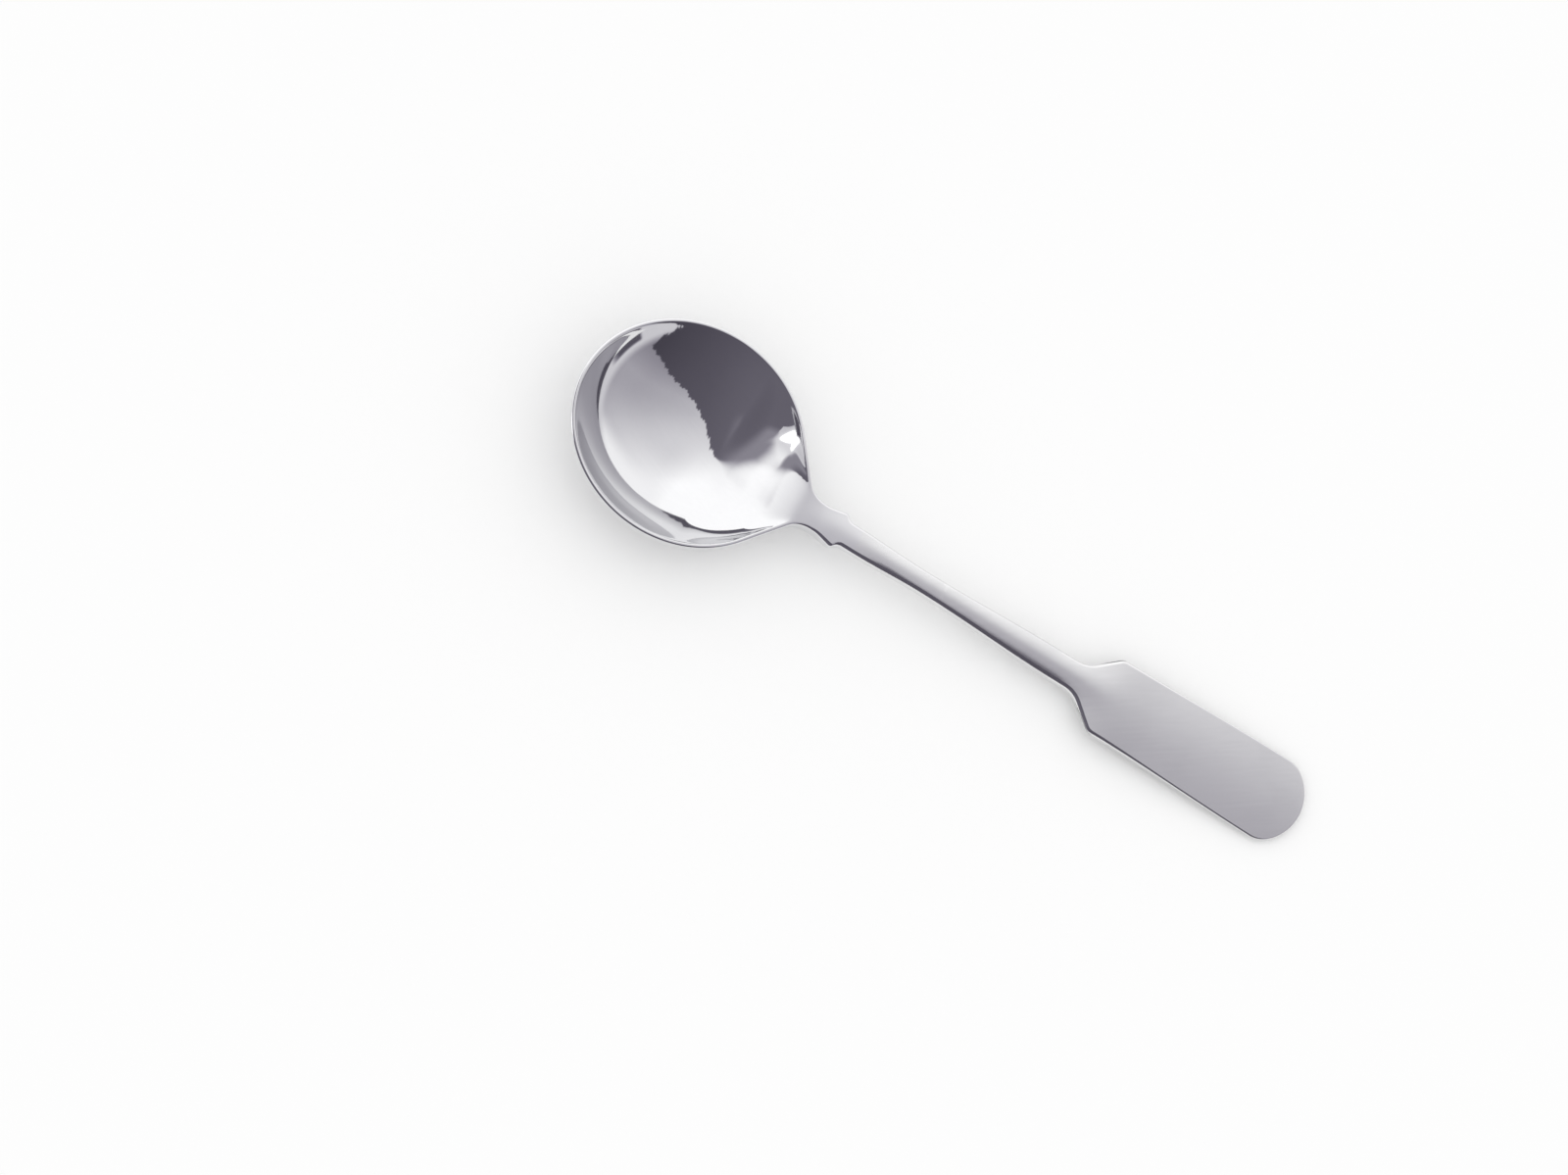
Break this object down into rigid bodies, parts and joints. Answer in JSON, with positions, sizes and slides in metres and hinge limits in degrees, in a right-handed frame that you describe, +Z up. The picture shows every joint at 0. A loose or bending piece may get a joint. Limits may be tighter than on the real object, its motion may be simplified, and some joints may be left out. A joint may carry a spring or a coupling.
{
  "type": "soup spoon",
  "caption": "Polished steel soup spoon with a nearly round bowl, a slim stem and a broad fiddle-shaped handle end, for eating soup at table.",
  "frame": {"origin": "on the table, under the middle of the spoon's length and width", "axes": "+X along the table from the tip of the bowl towards the end of the handle, +Y across the spoon, +Z up out of the open bowl"},
  "size_m": [0.1746, 0.0472, 0.0137],
  "materials": {
    "polished_steel": "solid stainless steel, polished to a mirror",
    "satin_steel": "solid stainless steel, fine satin polish"
  },
  "bodies": {
    "root": {"bowl": "polished_steel", "neck": "polished_steel", "stem": "satin_steel", "fiddle": "satin_steel"}
  },
  "joints": []
}
